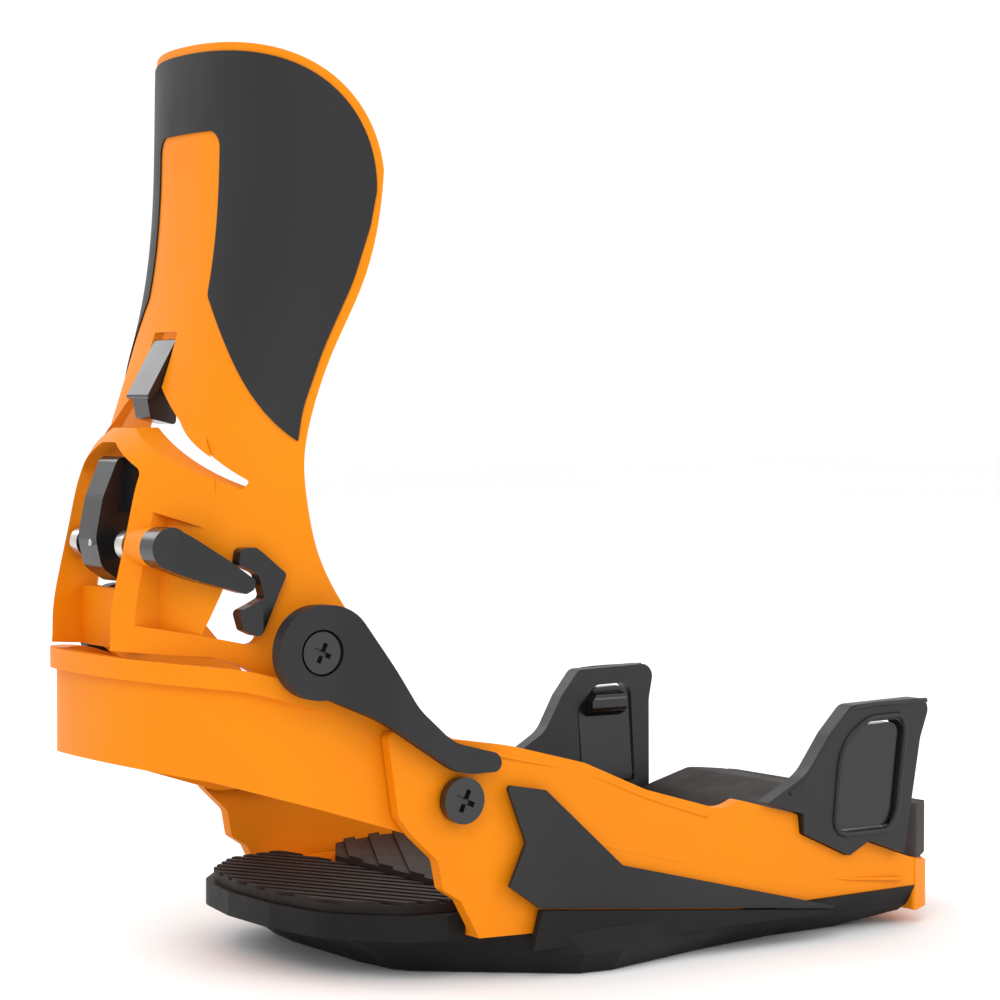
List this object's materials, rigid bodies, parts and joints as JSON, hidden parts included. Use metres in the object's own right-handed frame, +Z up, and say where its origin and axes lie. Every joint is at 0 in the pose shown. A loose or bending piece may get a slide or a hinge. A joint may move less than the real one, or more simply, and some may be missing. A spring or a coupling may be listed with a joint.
{
  "type": "step-in snowboard binding",
  "caption": "Strapless step-in snowboard binding with folding highback, heelcup, side release lever, sprung toe jaws, sliding toe ramp and slotted mounting disc.",
  "frame": {"origin": "centre of the mounting disc on the plane where the binding stands on the board", "axes": "+X towards the toe, +Y towards the inner side of a right foot (the release lever is on -Y), +Z up"},
  "size_m": [0.2778, 0.144, 0.2561],
  "materials": {
    "orange_shell": "satin",
    "dark_plastic": "satin",
    "dark_film": "satin",
    "tread_rubber": "matt, ribbed",
    "gloss_black": "gloss",
    "black_steel": "gloss black",
    "bare_steel": "satin"
  },
  "bodies": {
    "base": {"base_tray": "dark_plastic", "baseplate": "orange_shell", "side_panel_right": "dark_plastic", "side_panel_left": "dark_plastic", "heel_pad": "tread_rubber", "mounting_disc": "dark_plastic", "heelcup": "orange_shell", "heelcup_bolts": "black_steel", "heelcup_nuts": "bare_steel", "side_arm_right": "dark_plastic", "side_arm_left": "dark_plastic", "pivot_screws": "black_steel", "pivot_nuts": "bare_steel", "toe_hook_right": "dark_plastic", "toe_hook_left": "dark_plastic", "jaw_pins": "bare_steel"},
    "back": {"highback": "orange_shell", "highback_film": "dark_film", "lever_catch": "gloss_black"},
    "release": {"release_lever": "gloss_black", "lever_shaft": "bare_steel", "heel_latch": "gloss_black", "latch_roller": "bare_steel"},
    "lean": {"lean_adjuster": "gloss_black"},
    "jaw_right": {"toe_jaw_right": "gloss_black"},
    "jaw_left": {"toe_jaw_left": "gloss_black"},
    "toe": {"toe_ramp": "tread_rubber", "toe_cap": "orange_shell"},
    "cover": {"footbed_cover": "tread_rubber"}
  },
  "joints": [
    {"name": "highback_fold", "type": "hinge", "parent": "base", "child": "back", "pos_m": [-0.108, 0, 0.092], "axis": [0, 1, 0], "range_deg": [0, 52]},
    {"name": "lever_turn", "type": "hinge", "parent": "back", "child": "release", "pos_m": [-0.1397, 0, 0.1193], "axis": [0, 1, 0], "range_deg": [0, 24], "stiffness_Nm_per_rad": 0.15, "springref_deg": -22.92},
    {"name": "lean_flip", "type": "hinge", "parent": "back", "child": "lean", "pos_m": [-0.1212, 0, 0.1744], "axis": [0, 1, 0], "range_deg": [0, 60]},
    {"name": "jaw_right_open", "type": "hinge", "parent": "base", "child": "jaw_right", "pos_m": [0.0744, -0.0648, 0.0339], "axis": [0.9997, 0, -0.0231], "range_deg": [0, 8], "stiffness_Nm_per_rad": 0.3, "springref_deg": -11.46},
    {"name": "jaw_left_open", "type": "hinge", "parent": "base", "child": "jaw_left", "pos_m": [0.0744, 0.0648, 0.0339], "axis": [-0.9997, 0, 0.0231], "range_deg": [0, 8], "stiffness_Nm_per_rad": 0.3, "springref_deg": -11.46},
    {"name": "toe_slide", "type": "slide", "parent": "base", "child": "toe", "axis": [1, 0, 0], "range_m": [0, 0.012]},
    {"name": "cover_lift", "type": "hinge", "parent": "base", "child": "cover", "pos_m": [0.0708, 0, 0.023], "axis": [0, 1, 0], "range_deg": [0, 75]}
  ]
}
